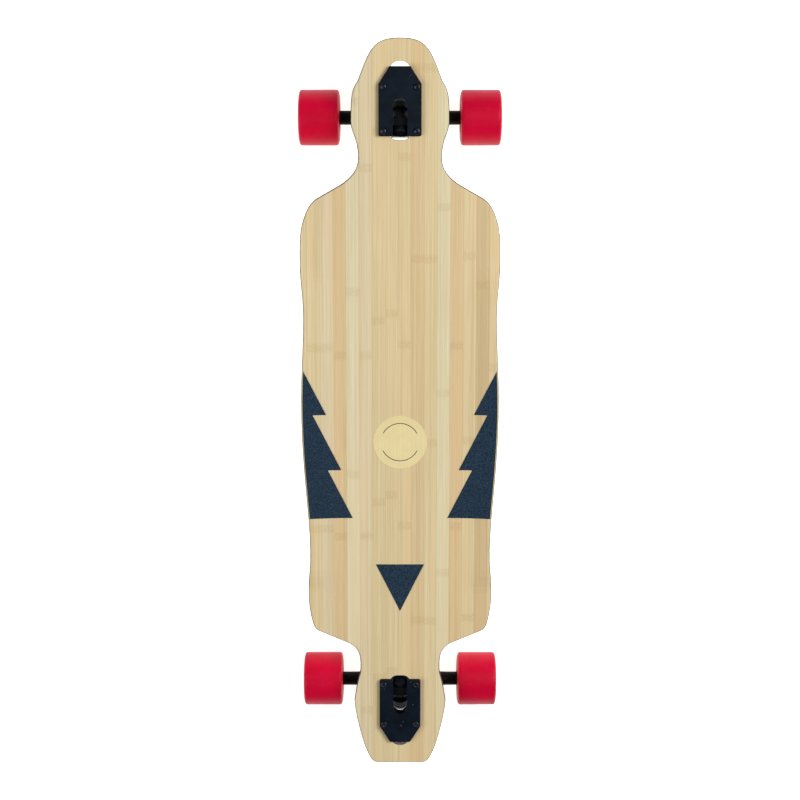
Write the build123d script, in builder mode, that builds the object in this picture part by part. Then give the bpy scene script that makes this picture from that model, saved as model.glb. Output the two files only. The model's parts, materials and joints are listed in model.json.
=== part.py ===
from build123d import *
from math import cos, radians, sin, sqrt, tan
import os

# Drop-through longboard, millimetres. +Z is up, +Y runs to the nose, and the origin lies on the
# ground under the middle of the deck. "Outboard" means away from the middle of the deck, towards
# the nose on the front truck and towards the tail on the rear one.

# Wheels and axles
wheel_diameter = 70.0
wheel_width = 52.0
wheel_corner_radius = 3.5
wheel_face_bulge = 1.0
wheel_recess_radius = 14.5
wheel_recess_mouth_radius = 19.0
wheel_core_diameter = 34.0
wheel_core_width = 26.0
wheel_core_bore = 18.0
hanger_width = 178.0
axle_diameter = 8.0
axle_end_past_nut = 1.5
axle_end_chamfer = 0.8
axle_nut_width = 12.7
axle_nut_height = 6.5
speed_washer_diameter = 11.0
speed_washer_thickness = 1.0

# Ball bearings, 22 x 8 x 7
bearing_diameter = 22.0
bearing_width = 7.0
bearing_outer_wall = 1.8
bearing_inner_wall = 1.9
bearing_groove_depth = 0.35
bearing_ball_count = 7
bearing_play = 0.05
bearing_spacer_length = 10.0
bearing_spacer_wall = 1.0
shield_thickness = 0.4
shield_inset = 0.3
shield_gap = 0.3

# Deck
truck_spacing = 767.5
nose_overhang = 86.3
tail_overhang = 82.7
deck_thickness = 12.0
deck_edge_radius = 2.0
nose_width = 122.0
nose_neck_width = 103.8
front_shoulder_width = 251.0
middle_width = 248.2
rear_shoulder_width = 236.6
tail_neck_width = 101.6
tail_width = 119.0
tail_end_width = 56.0
deck_flat_width = 124.0
rail_rise = 8.0
section_overhang = 5.0
rail_rise_nose_start = 187.0
rail_rise_nose_full = 232.0
rail_rise_tail_start = 150.0
rail_rise_tail_full = 180.0

# Shape of the outline between those widths. Each pair is a change from the named half width and a
# distance outboard of the nearer bolt pattern. The pairs of the two ends start with a share of the
# half width and a distance in from the end.
nose_end_shape = ((0.500, 8.8), (0.854, 51.8))
nose_widest = -16.0
nose_well_shape = ((-4.3, -32.3), (0.0, -59.0), (3.8, -75.0), (23.0, -93.6))
front_shoulder_shape = ((-22.0, -110.0), (-6.8, -130.7), (0.0, -190.0))
middle_shape = ((-1.8, -234.0), (0.0, -328.0))
middle_tail_shape = (-2.2, -309.0)
rear_shoulder_start_shape = (-2.0, -181.0)
rear_shoulder_shape = ((0.0, -150.5), (-4.2, -113.0), (-13.0, -98.0))
tail_well_shape = ((17.0, -82.0), (2.2, -66.0), (0.7, -45.0), (0.0, -4.0))
tail_end_share = (0.882, 45.4)
tail_corner = (12.0, 9.0)
shoulder_slope = 1.69
rear_slope = 2.2

# Opening in the deck for each truck, measured from the middle of the bolt pattern
opening_width = 26.0
opening_outboard = 57.9
opening_inboard = 38.0
opening_outboard_radius = 12.0
opening_inboard_radius = 9.0

# Truck bolts
bolt_spacing_across = 41.3
bolt_spacing_along = 53.8
bolt_diameter = 5.0
bolt_head_diameter = 9.0
bolt_head_height = 2.8
bolt_socket_width = 3.0
bolt_socket_depth = 1.6
bolt_past_nut = 1.5
bolt_nut_width = 8.0
bolt_nut_height = 5.0
bolt_clearance = 0.2
bolt_head_round = 0.7

# Base plate
flange_width = 53.2
flange_outboard = 51.9
flange_inboard = 33.2
flange_thickness = 6.0
flange_taper_length = 21.6
flange_end_width = 26.0
flange_corner_radius = 2.5
flange_edge_radius = 0.8
slot_width = 17.8
slot_outboard = 13.3
casting_width = 22.0
casting_draft = 3.8
casting_web_gap = 9.3
casting_web_setback = 7.0
casting_reach = 40.0
seat_margin = 1.5
seat_step = 0.5
seat_step_height = 4.5
window_length = 30.0
skirt_wall = 3.0
skirt_depth = 12.0
horn_radius = 8.5
horn_depth = 6.5
horn_mouth = 7.0

# Steering geometry, in the truck's own frame: the middle of the bolt pattern on top of the deck
truck_angle = 50.0
axle_inboard = 12.2
axle_drop = 62.0
pivot_inboard = 28.5
pivot_drop = 54.5
pivot_to_ring = 39.7

# Pivot cup and pivot nose
pivot_radius = 5.0
pivot_ball_centre = 2.5
pivot_clearance = 0.05
pivot_cup_wall = 1.2
pivot_cup_floor = 1.5
pivot_cup_lip = 1.3
pivot_cup_lip_height = 1.0

# Hanger
ring_radius = 15.0
ring_web = 8.0
ring_lip = 1.5
ring_bore_radius = 7.5
neck_width = 16.0
neck_height = 5.5
neck_gap = 0.5
neck_overlap = 1.0
arm_radius_middle = 7.5
arm_radius_root = 10.0
arm_radius_outer = 8.9
arm_radius_end = 7.0
arm_end_taper = 2.0
arm_shoulder_run = 3.0
arm_shoulder_taper = 7.0
foot_run = 10.0
gusset_reach = 52.0
gusset_top_width = 26.0
gusset_height = 26.0
gusset_thickness = 7.0

# Kingpin and bushings
kingpin_diameter = 9.5
kingpin_head_width = 14.3
kingpin_head_height = 6.0
kingpin_seat_thickness = 8.0
kingpin_past_nut = 2.5
kingpin_nut_height = 8.0
bushing_radius = 12.0
bushing_tip_radius = 9.5
bushing_bore_clearance = 0.2
bushing_seat_clearance = 0.6
bushing_edge_radius = 1.0
boardside_bushing_height = 15.0
roadside_bushing_height = 14.0
cup_washer_thickness = 1.5
cup_washer_rim = 1.2
cup_washer_rim_height = 2.0
cup_washer_clearance = 0.4

# Grip tape and badge
grip_thickness = 0.8
grip_edge_inset = 2.0
grip_apex = 60.0
grip_tooth_ends = (-1.0, -73.0, -136.0)
grip_tooth_step = 17.0
grip_tooth_angle = 26.4
triangle_width = 61.6
triangle_base = -197.8
triangle_tip = -259.8
badge_diameter = 68.6
badge_thickness = 0.4
badge_place = -36.7
grip_edge_points = 7
grip_edge_shares = (0.1, 0.9)

# Worked out from the sizes above
wheel_radius = wheel_diameter / 2
axle_radius = axle_diameter / 2
deck_top = wheel_radius + axle_drop
deck_bottom = deck_top - deck_thickness
deck_length = nose_overhang + truck_spacing + tail_overhang
nose_truck = deck_length / 2 - nose_overhang
tail_truck = tail_overhang - deck_length / 2
bearing_stack = bearing_spacer_length + 2 * bearing_width
hanger_face = hanger_width / 2
wheel_centre = hanger_face + speed_washer_thickness + bearing_stack / 2
axle_half_length = (
    wheel_centre + bearing_stack / 2 + speed_washer_thickness + axle_nut_height + axle_end_past_nut
)
bearing_seat_start = bearing_stack / 2 - bearing_width
ball_pitch_radius = (axle_radius + bearing_inner_wall + bearing_diameter / 2 - bearing_outer_wall) / 2
ball_radius = (
    (bearing_diameter / 2 - bearing_outer_wall - axle_radius - bearing_inner_wall) / 2
    + bearing_groove_depth - bearing_play
)

steer_up = sin(radians(truck_angle))
steer_out = cos(radians(truck_angle))
axle_point = (0, -axle_inboard, -axle_drop)
pivot_point = (0, -pivot_inboard, -pivot_drop)
ring_point = (
    0,
    -pivot_inboard + steer_out * pivot_to_ring,
    -pivot_drop + steer_up * pivot_to_ring,
)

# Places along the kingpin, from the middle of the hanger ring towards the nut
boardside_bushing_start = -ring_web / 2 - boardside_bushing_height
boardside_washer_start = boardside_bushing_start - cup_washer_thickness
kingpin_head_seat = boardside_washer_start - kingpin_seat_thickness
roadside_bushing_end = ring_web / 2 + roadside_bushing_height
kingpin_nut_start = roadside_bushing_end + cup_washer_thickness
kingpin_nut_end = kingpin_nut_start + kingpin_nut_height

# Planes of the truck's own frame. On the steering plane, x runs up the steering axis from the
# pivot, and y runs towards the deck side.
steering_plane = Plane(origin=pivot_point, x_dir=(0, steer_out, steer_up), z_dir=(1, 0, 0))
pivot_plane = Plane(origin=pivot_point, x_dir=(1, 0, 0), z_dir=(0, steer_out, steer_up))
kingpin_plane = Plane(origin=ring_point, x_dir=(1, 0, 0), z_dir=(0, steer_up, -steer_out))
axle_plane = Plane(origin=axle_point, x_dir=(1, 0, 0), z_dir=(0, -1, 0))
steering_axis = Axis(pivot_point, (0, steer_out, steer_up))
axle_axis = Axis(axle_point, (1, 0, 0))
axle_on_steering = steering_plane.to_local_coords(Vector(axle_point))

# Where each truck and each wheel stands
truck_places = {
    "front": Plane(origin=(0, nose_truck, deck_top), x_dir=(1, 0, 0), z_dir=(0, 0, 1)),
    "rear": Plane(origin=(0, tail_truck, deck_top), x_dir=(-1, 0, 0), z_dir=(0, 0, 1)),
}
axle_stations = {"front": nose_truck - axle_inboard, "rear": tail_truck + axle_inboard}
side_signs = {"left": -1, "right": 1}


def wheel_place(end, side):
    """The plane of one wheel: its origin in the middle of the wheel, its z axis pointing outward."""
    sign = side_signs[side]
    centre = (sign * wheel_centre, axle_stations[end], wheel_radius)
    return Plane(origin=centre, x_dir=(0, 1, 0), z_dir=(sign, 0, 0))


def save(shape, name, places):
    """Puts a copy of the shape at each place and writes them as one named piece."""
    with BuildPart() as piece:
        with Locations(*places):
            add(shape)
    piece.part.label = name
    export_step(piece.part, f"parts/{name}.step")


os.makedirs("parts", exist_ok=True)
at_rest = [Plane.XY]

# ---------------------------------------------------------------- deck

# Stations along the deck, given as a distance outboard of the nearer bolt pattern


def nose_station(outboard):
    return nose_truck + outboard


def tail_station(outboard):
    return tail_truck - outboard




def nose_points(half_width, shape):
    return [(half_width + change, nose_station(outboard)) for change, outboard in shape]


def tail_points(half_width, shape):
    return [(half_width + change, tail_station(outboard)) for change, outboard in shape]


nose_half = nose_width / 2
tail_half = tail_width / 2
tail_end_half = tail_end_width / 2
with BuildSketch() as deck_outline:
    with BuildLine() as right_side:
        nose_end = [
            (share * nose_half, nose_station(nose_overhang - inset)) for share, inset in nose_end_shape
        ]
        nose_cap = Spline(
            (0, nose_station(nose_overhang)),
            *nose_end,
            (nose_half, nose_station(nose_widest)),
            tangents=[(1, 0), (0, -1)],
        )
        nose_well = Spline(
            nose_cap @ 1,
            (nose_half + nose_well_shape[0][0], nose_station(nose_well_shape[0][1])),
            *nose_points(nose_neck_width / 2, nose_well_shape[1:]),
            tangents=[(-0.05, -1), (shoulder_slope, -1)],
        )
        front_shoulder = Spline(
            *nose_points(front_shoulder_width / 2, front_shoulder_shape),
            tangents=[(shoulder_slope, -1), (0, -1)],
        )
        Line(nose_well @ 1, front_shoulder @ 0)
        middle_edge = Spline(
            front_shoulder @ 1,
            *nose_points(middle_width / 2, middle_shape),
            *tail_points(middle_width / 2, [middle_tail_shape]),
            *tail_points(rear_shoulder_width / 2, [rear_shoulder_start_shape, rear_shoulder_shape[0]]),
            tangents=[(0, -1), (0, -1)],
        )
        rear_shoulder = Spline(
            middle_edge @ 1,
            *tail_points(rear_shoulder_width / 2, rear_shoulder_shape[1:]),
            tangents=[(0, -1), (-rear_slope, -1)],
        )
        tail_well = Spline(
            *tail_points(tail_neck_width / 2, tail_well_shape[:-1]),
            *tail_points(tail_half, tail_well_shape[-1:]),
            tangents=[(-rear_slope, -1), (0.15, -1)],
        )
        Line(rear_shoulder @ 1, tail_well @ 0)
        tail_cap = Spline(
            tail_well @ 1,
            (tail_end_share[0] * tail_half, tail_station(tail_overhang - tail_end_share[1])),
            (tail_end_half + tail_corner[0], tail_station(tail_overhang - tail_corner[1])),
            (tail_end_half, tail_station(tail_overhang)),
            tangents=[(-0.05, -1), (-1, 0)],
        )
        Line(tail_cap @ 1, (0, tail_station(tail_overhang)))
        mirror(about=Plane.YZ)
    make_face()


def rail_curve(sign, height, rise):
    """Half of the top line of a deck section: flat to the rail, then curving up past the edge."""
    flat = deck_flat_width / 2
    reach = front_shoulder_width / 2 + section_overhang
    end_rise = rise * ((reach - flat) / (middle_width / 2 - flat)) ** 2
    return Bezier(
        (sign * flat, height),
        (sign * (flat + reach) / 2, height),
        (sign * reach, height + end_rise),
    )


def deck_section(bottom, top, rise):
    """Closed section of a layer of the deck between two heights, with its rails raised."""
    flat = deck_flat_width / 2
    Line((-flat, top), (flat, top))
    top_right = rail_curve(1, top, rise)
    top_left = rail_curve(-1, top, rise)
    Line((-flat, bottom), (flat, bottom))
    bottom_right = rail_curve(1, bottom, rise)
    bottom_left = rail_curve(-1, bottom, rise)
    Line(top_right @ 1, bottom_right @ 1)
    Line(top_left @ 1, bottom_left @ 1)


def smooth_step(share):
    return share * share * (3 - 2 * share)


rise_steps = [step / 4 for step in range(5)]
deck_stations = [(nose_station(nose_overhang + section_overhang), 0.0)]
for share in rise_steps:
    run = rail_rise_nose_full - rail_rise_nose_start
    deck_stations.append((nose_station(-rail_rise_nose_start - share * run), smooth_step(share)))
for share in reversed(rise_steps):
    run = rail_rise_tail_full - rail_rise_tail_start
    deck_stations.append((tail_station(-rail_rise_tail_start - share * run), smooth_step(share)))
deck_stations.append((tail_station(tail_overhang + section_overhang), 0.0))

with BuildPart() as truck_opening:
    opening_length = opening_outboard + opening_inboard
    opening_middle = (opening_outboard - opening_inboard) / 2
    with BuildSketch(Plane.XY.offset(-deck_thickness - 1)):
        with Locations((0, opening_middle)):
            Rectangle(opening_width, opening_length)
        fillet(vertices().group_by(Axis.Y)[-1], opening_outboard_radius)
        fillet(vertices().group_by(Axis.Y)[0], opening_inboard_radius)
    extrude(amount=deck_thickness + 2)
    with BuildSketch(Plane.XY.offset(-deck_thickness - 1)):
        with GridLocations(bolt_spacing_across, bolt_spacing_along, 2, 2):
            Circle(bolt_diameter / 2 + bolt_clearance)
    extrude(amount=deck_thickness + 2)

with BuildPart() as deck:
    for station, rise_share in deck_stations:
        with BuildSketch(Plane.XZ.offset(-station)):
            with BuildLine():
                deck_section(deck_bottom, deck_top, rail_rise * rise_share)
            make_face()
    loft(ruled=True)
    with BuildSketch():
        add(deck_outline.sketch)
    extrude(amount=deck_top + rail_rise + deck_thickness, mode=Mode.INTERSECT)
    walls = faces().filter_by(lambda face: abs(face.normal_at().Z) < 0.2)
    rims = walls.edges().filter_by(lambda edge: edge.bounding_box().size.Z < deck_thickness / 2)
    fillet(rims, deck_edge_radius)
    with Locations(*truck_places.values()):
        add(truck_opening.part, mode=Mode.SUBTRACT)
save(deck.part, "deck", at_rest)

# ---------------------------------------------------------------- grip tape and badge

# The outer edge of the tape follows the edge of the deck
edge_start, edge_end = grip_edge_shares
edge_step = (edge_end - edge_start) / (grip_edge_points - 1)
edge_points = [middle_edge @ (edge_start + edge_step * step) for step in range(grip_edge_points)]

for side, sign in side_signs.items():
    with BuildPart() as grip:
        with BuildSketch(Plane.XZ.offset(-grip_apex)):
            with BuildLine():
                deck_section(deck_top, deck_top + grip_thickness, rail_rise)
            make_face()
        extrude(amount=grip_apex - grip_tooth_ends[-1])
        with BuildSketch():
            with BuildLine():
                outer = front_shoulder_width / 2 + section_overhang
                x = middle_width / 2
                teeth = [(sign * outer, grip_apex), (sign * x, grip_apex)]
                y = grip_apex
                for tooth_end in grip_tooth_ends:
                    x = x - (y - tooth_end) * tan(radians(grip_tooth_angle))
                    teeth.append((sign * x, tooth_end))
                    y = tooth_end
                    x = x + grip_tooth_step
                    teeth.append((sign * x, tooth_end))
                teeth[-1] = (sign * outer, grip_tooth_ends[-1])
                Polyline(*teeth, close=True)
            make_face()
            with BuildLine():
                inset_points = [(sign * (point.X - grip_edge_inset), point.Y) for point in edge_points]
                tape_edge = Spline(*inset_points)
                Polyline(tape_edge @ 1, (0, (tape_edge @ 1).Y), (0, (tape_edge @ 0).Y), tape_edge @ 0)
            make_face(mode=Mode.INTERSECT)
        extrude(amount=deck_top + 2 * rail_rise, mode=Mode.INTERSECT)
    save(grip.part, f"grip_{side}", at_rest)

with BuildPart() as grip_triangle:
    with BuildSketch(Plane.XY.offset(deck_top)):
        with BuildLine():
            Polyline(
                (-triangle_width / 2, triangle_base),
                (triangle_width / 2, triangle_base),
                (0, triangle_tip),
                close=True,
            )
        make_face()
    extrude(amount=grip_thickness)
save(grip_triangle.part, "grip_triangle", at_rest)

with BuildPart() as badge:
    with BuildSketch(Plane.XY.offset(deck_top)):
        with Locations((0, badge_place)):
            Circle(badge_diameter / 2)
    extrude(amount=badge_thickness)
save(badge.part, "badge", at_rest)

# ---------------------------------------------------------------- base plate and its pivot cup

seat = -boardside_washer_start
pad_half = bushing_radius + seat_margin
pad_inboard = pivot_to_ring - pad_half - seat_step

with BuildPart() as casting:
    with BuildSketch(steering_plane):
        with BuildLine():
            Polyline(
                (-horn_depth, 0),
                (horn_mouth, 0),
                (horn_mouth, casting_web_gap),
                (pivot_to_ring - ring_radius - casting_web_setback, casting_web_gap),
                (pad_inboard, seat - seat_step_height),
                (pad_inboard, seat),
                (pivot_to_ring + pad_half, seat),
                (pivot_to_ring + pad_half, seat + casting_reach),
                (-horn_depth, seat + casting_reach),
                close=True,
            )
        make_face()
    extrude(amount=casting_width / 2, both=True)
    with BuildSketch(pivot_plane.offset(-horn_depth)):
        Circle(horn_radius)
    extrude(amount=horn_depth + horn_mouth)
    split(bisect_by=Plane.XY.offset(flange_thickness / 2), keep=Keep.BOTTOM)
    split(
        bisect_by=Plane(origin=(0, -flange_inboard, 0), z_dir=(0, pivot_drop, -casting_draft)),
        keep=Keep.TOP,
    )

with BuildPart() as baseplate:
    with BuildSketch():
        with BuildLine():
            Polyline(
                (-flange_width / 2, -flange_inboard),
                (flange_width / 2, -flange_inboard),
                (flange_width / 2, flange_outboard - flange_taper_length),
                (flange_end_width / 2, flange_outboard),
                (-flange_end_width / 2, flange_outboard),
                (-flange_width / 2, flange_outboard - flange_taper_length),
                close=True,
            )
        make_face()
        fillet(vertices(), flange_corner_radius)
    extrude(amount=flange_thickness)
    fillet(faces().sort_by(Axis.Z)[-1].edges(), flange_edge_radius)
    add(casting.part)
    with BuildSketch():
        with Locations((0, slot_outboard - slot_width / 2)):
            Circle(slot_width / 2 + skirt_wall)
        with Locations((0, slot_outboard - slot_width - skirt_wall)):
            Rectangle(slot_width + 2 * skirt_wall, slot_width + 2 * skirt_wall, mode=Mode.SUBTRACT)
        with Locations((0, slot_outboard - slot_width / 2)):
            Circle(slot_width / 2, mode=Mode.SUBTRACT)
    extrude(amount=-skirt_depth)
    with BuildSketch():
        with Locations((0, slot_outboard - slot_width / 2)):
            Circle(slot_width / 2)
        slot_run = slot_outboard - slot_width / 2 + flange_inboard
        with Locations((0, slot_outboard - slot_width / 2 - slot_run / 2)):
            Rectangle(slot_width, slot_run)
    extrude(amount=flange_thickness, mode=Mode.SUBTRACT)
    with BuildSketch(kingpin_plane.offset(kingpin_head_seat)):
        with Locations((0, -window_length / 2)):
            SlotOverall(window_length + slot_width, slot_width, rotation=90)
    extrude(amount=-casting_reach, mode=Mode.SUBTRACT)
    with BuildSketch(kingpin_plane.offset(boardside_washer_start)):
        Circle(kingpin_diameter / 2)
    extrude(amount=-kingpin_seat_thickness, mode=Mode.SUBTRACT)
    with BuildSketch(pivot_plane.offset(horn_mouth)):
        Circle(pivot_radius + pivot_clearance + pivot_cup_wall)
    cup_depth = horn_mouth - pivot_ball_centre + pivot_radius + pivot_clearance + pivot_cup_floor
    extrude(amount=-cup_depth, mode=Mode.SUBTRACT)
    with BuildSketch(Plane.XY.offset(flange_thickness)):
        with GridLocations(bolt_spacing_across, bolt_spacing_along, 2, 2):
            Circle(bolt_diameter / 2 + bolt_clearance)
    extrude(amount=-flange_thickness, mode=Mode.SUBTRACT)

with BuildPart() as pivot_cup:
    with BuildSketch(steering_plane):
        cup_radius = pivot_radius + pivot_clearance
        with BuildLine():
            floor = CenterArc((pivot_ball_centre, 0), cup_radius, 90, 90)
            Polyline(
                floor @ 0,
                (horn_mouth + pivot_cup_lip_height, cup_radius),
                (horn_mouth + pivot_cup_lip_height, cup_radius + pivot_cup_wall + pivot_cup_lip),
                (horn_mouth, cup_radius + pivot_cup_wall + pivot_cup_lip),
                (horn_mouth, cup_radius + pivot_cup_wall),
                (horn_mouth - cup_depth, cup_radius + pivot_cup_wall),
                (horn_mouth - cup_depth, 0),
                floor @ 1,
            )
        make_face()
    revolve(axis=steering_axis)

# ---------------------------------------------------------------- hanger and axle

recess_radius = bushing_radius + bushing_seat_clearance
neck_start = horn_mouth + pivot_cup_lip_height + neck_gap
ring_inboard = pivot_to_ring - ring_radius + arm_shoulder_run
foot_level = axle_on_steering.Y - arm_radius_middle

neck_root = neck_start + neck_overlap

with BuildPart() as hanger:
    with BuildSketch(axle_plane):
        with BuildLine():
            Polyline(
                (0, 0),
                (0, arm_radius_middle),
                (horn_radius + arm_shoulder_run, arm_radius_middle),
                (horn_radius + arm_shoulder_run + arm_shoulder_taper, arm_radius_root),
                (hanger_face - wheel_width / 2, arm_radius_outer),
                (hanger_face - arm_end_taper, arm_radius_outer),
                (hanger_face, arm_radius_end),
                (hanger_face, 0),
                close=True,
            )
        make_face()
        mirror(about=Plane.YZ)
    revolve(axis=axle_axis)
    with BuildSketch(steering_plane):
        with BuildLine():
            Polyline(
                (neck_start, neck_height),
                (ring_inboard, neck_height),
                (ring_inboard, -neck_height),
                (axle_on_steering.X + foot_run, foot_level + arm_shoulder_run),
                (axle_on_steering.X, foot_level),
                (axle_on_steering.X, axle_on_steering.Y + arm_radius_middle),
                (neck_start, axle_on_steering.Y + arm_radius_middle),
                close=True,
            )
        make_face()
    extrude(amount=neck_width / 2, both=True)
    with BuildSketch(axle_plane):
        with BuildLine():
            Polyline(
                (-gusset_reach, 0),
                (gusset_reach, 0),
                (gusset_top_width / 2, gusset_height),
                (-gusset_top_width / 2, gusset_height),
                close=True,
            )
        make_face()
    extrude(amount=gusset_thickness / 2, both=True)
    with BuildSketch(kingpin_plane):
        Circle(ring_radius)
    extrude(amount=ring_web / 2 + ring_lip, both=True)
    with BuildSketch(kingpin_plane.offset(ring_web / 2)):
        Circle(recess_radius)
    extrude(amount=2 * ring_radius, mode=Mode.SUBTRACT)
    with BuildSketch(kingpin_plane.offset(-ring_web / 2)):
        Circle(recess_radius)
    extrude(amount=-ring_radius, mode=Mode.SUBTRACT)
    with BuildSketch(kingpin_plane):
        Circle(ring_bore_radius)
    extrude(amount=ring_web, both=True, mode=Mode.SUBTRACT)
    with BuildSketch(steering_plane):
        with BuildLine():
            tip = CenterArc((pivot_ball_centre, 0), pivot_radius, 90, 90)
            Polyline(tip @ 0, (neck_root, pivot_radius), (neck_root, 0), tip @ 1)
        make_face()
    revolve(axis=steering_axis)
    with BuildSketch(Plane(origin=axle_point, z_dir=(1, 0, 0))):
        Circle(axle_radius)
    extrude(amount=hanger_width, both=True, mode=Mode.SUBTRACT)

with BuildPart() as axle:
    with BuildSketch(Plane(origin=axle_point, z_dir=(1, 0, 0))):
        Circle(axle_radius)
    extrude(amount=axle_half_length, both=True)
    chamfer(axle.edges().filter_by(GeomType.CIRCLE), axle_end_chamfer)

# ---------------------------------------------------------------- kingpin and bushings

with BuildPart() as kingpin:
    with BuildSketch(kingpin_plane.offset(kingpin_head_seat)):
        RegularPolygon(kingpin_head_width / 2, 6, major_radius=False)
    extrude(amount=-kingpin_head_height)
    with BuildSketch(kingpin_plane.offset(kingpin_head_seat)):
        Circle(kingpin_diameter / 2)
    extrude(amount=kingpin_nut_end + kingpin_past_nut - kingpin_head_seat)

with BuildPart() as kingpin_nut:
    with BuildSketch(kingpin_plane.offset(kingpin_nut_start)):
        RegularPolygon(kingpin_head_width / 2, 6, major_radius=False)
        Circle(kingpin_diameter / 2, mode=Mode.SUBTRACT)
    extrude(amount=kingpin_nut_height)

with BuildPart() as boardside_bushing:
    with BuildSketch(kingpin_plane.offset(boardside_bushing_start)):
        Circle(bushing_radius)
    extrude(amount=boardside_bushing_height)
    fillet(edges().filter_by(GeomType.CIRCLE), bushing_edge_radius)
    with BuildSketch(kingpin_plane.offset(boardside_bushing_start)):
        Circle(kingpin_diameter / 2 + bushing_bore_clearance)
    extrude(amount=boardside_bushing_height, mode=Mode.SUBTRACT)

with BuildPart() as roadside_bushing:
    with BuildSketch(kingpin_plane.offset(ring_web / 2)):
        Circle(bushing_radius)
    with BuildSketch(kingpin_plane.offset(roadside_bushing_end)):
        Circle(bushing_tip_radius)
    loft()
    fillet(edges().filter_by(GeomType.CIRCLE), bushing_edge_radius)
    with BuildSketch(kingpin_plane.offset(ring_web / 2)):
        Circle(kingpin_diameter / 2 + bushing_bore_clearance)
    extrude(amount=roadside_bushing_height, mode=Mode.SUBTRACT)

with BuildPart() as boardside_washer:
    with BuildSketch(kingpin_plane.offset(boardside_washer_start)):
        Circle(bushing_radius)
        Circle(kingpin_diameter / 2 + bushing_bore_clearance, mode=Mode.SUBTRACT)
    extrude(amount=cup_washer_thickness)

with BuildPart() as roadside_washer:
    rim_inner = bushing_tip_radius + cup_washer_clearance
    with BuildSketch(kingpin_plane.offset(roadside_bushing_end)):
        Circle(rim_inner + cup_washer_rim)
        Circle(kingpin_diameter / 2 + bushing_bore_clearance, mode=Mode.SUBTRACT)
    extrude(amount=cup_washer_thickness)
    with BuildSketch(kingpin_plane.offset(roadside_bushing_end)):
        Circle(rim_inner + cup_washer_rim)
        Circle(rim_inner, mode=Mode.SUBTRACT)
    extrude(amount=-cup_washer_rim_height)

# ---------------------------------------------------------------- mounting bolts and nuts

nut_top = -deck_thickness
bolt_end = nut_top - bolt_nut_height - bolt_past_nut

with BuildPart() as mounting_bolts:
    with BuildSketch(Plane.XY.offset(flange_thickness)):
        with GridLocations(bolt_spacing_across, bolt_spacing_along, 2, 2):
            Circle(bolt_head_diameter / 2)
    extrude(amount=bolt_head_height)
    fillet(edges().group_by(Axis.Z)[-1], bolt_head_height * bolt_head_round)
    with BuildSketch(Plane.XY.offset(flange_thickness + bolt_head_height)):
        with GridLocations(bolt_spacing_across, bolt_spacing_along, 2, 2):
            RegularPolygon(bolt_socket_width / 2, 6, major_radius=False)
    extrude(amount=-bolt_socket_depth, mode=Mode.SUBTRACT)
    with BuildSketch(Plane.XY.offset(bolt_end)):
        with GridLocations(bolt_spacing_across, bolt_spacing_along, 2, 2):
            Circle(bolt_diameter / 2)
    extrude(amount=flange_thickness - bolt_end)

with BuildPart() as mounting_nuts:
    with BuildSketch(Plane.XY.offset(nut_top)):
        with GridLocations(bolt_spacing_across, bolt_spacing_along, 2, 2):
            RegularPolygon(bolt_nut_width / 2, 6, major_radius=False)
            Circle(bolt_diameter / 2, mode=Mode.SUBTRACT)
    extrude(amount=-bolt_nut_height)

truck_pieces = {
    "baseplate": baseplate,
    "pivot_cup": pivot_cup,
    "hanger": hanger,
    "axle": axle,
    "kingpin": kingpin,
    "kingpin_nut": kingpin_nut,
    "boardside_bushing": boardside_bushing,
    "roadside_bushing": roadside_bushing,
    "boardside_washer": boardside_washer,
    "roadside_washer": roadside_washer,
    "mounting_bolts": mounting_bolts,
    "mounting_nuts": mounting_nuts,
}
for end, place in truck_places.items():
    for piece_name, piece in truck_pieces.items():
        save(piece.part, f"{end}_{piece_name}", [place])

# ---------------------------------------------------------------- wheels and bearings

# Each wheel is modelled along Z, with its middle at the origin and its outer face upward
half_width = wheel_width / 2
half_core = wheel_core_width / 2
face_edge = half_width - wheel_face_bulge

with BuildPart() as wheel_tyre:
    with BuildSketch(Plane.XZ):
        with BuildLine():
            corner = ThreePointArc(
                (wheel_radius, face_edge - wheel_corner_radius),
                (
                    wheel_radius - wheel_corner_radius * (1 - sqrt(0.5)),
                    face_edge - wheel_corner_radius * (1 - sqrt(0.5)),
                ),
                (wheel_radius - wheel_corner_radius, face_edge),
            )
            bulge = ThreePointArc(
                corner @ 1,
                ((corner @ 1).X / 2 + wheel_recess_mouth_radius / 2, half_width),
                (wheel_recess_mouth_radius, face_edge),
            )
            Polyline(
                bulge @ 1,
                (wheel_recess_radius, half_core),
                (wheel_core_diameter / 2, half_core),
                (wheel_core_diameter / 2, 0),
                (wheel_radius, 0),
                corner @ 0,
            )
        make_face()
        mirror(about=Plane.XZ)
    revolve(axis=Axis.Z)

with BuildPart() as wheel_core:
    with BuildSketch(Plane.XY.offset(-half_core)):
        Circle(wheel_core_diameter / 2)
    extrude(amount=wheel_core_width)
    with BuildSketch(Plane.XY.offset(-half_core)):
        Circle(wheel_core_bore / 2)
    extrude(amount=wheel_core_width, mode=Mode.SUBTRACT)
    for direction in (-1, 1):
        with BuildSketch(Plane.XY.offset(direction * bearing_seat_start)):
            Circle(bearing_diameter / 2)
        extrude(amount=direction * half_core, mode=Mode.SUBTRACT)

outer_ring_bore = bearing_diameter / 2 - bearing_outer_wall
inner_ring_rim = axle_radius + bearing_inner_wall
groove_radius = ball_radius + bearing_play

bearing_middles = [
    direction * (bearing_stack - bearing_width) / 2 for direction in (-1, 1)
]

with BuildPart() as bearing_outer_rings:
    with BuildSketch(Plane.XZ):
        with Locations(*[(outer_ring_bore + bearing_outer_wall / 2, middle) for middle in bearing_middles]):
            Rectangle(bearing_outer_wall, bearing_width)
        with Locations(*[(ball_pitch_radius, middle) for middle in bearing_middles]):
            Circle(groove_radius, mode=Mode.SUBTRACT)
    revolve(axis=Axis.Z)

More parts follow.
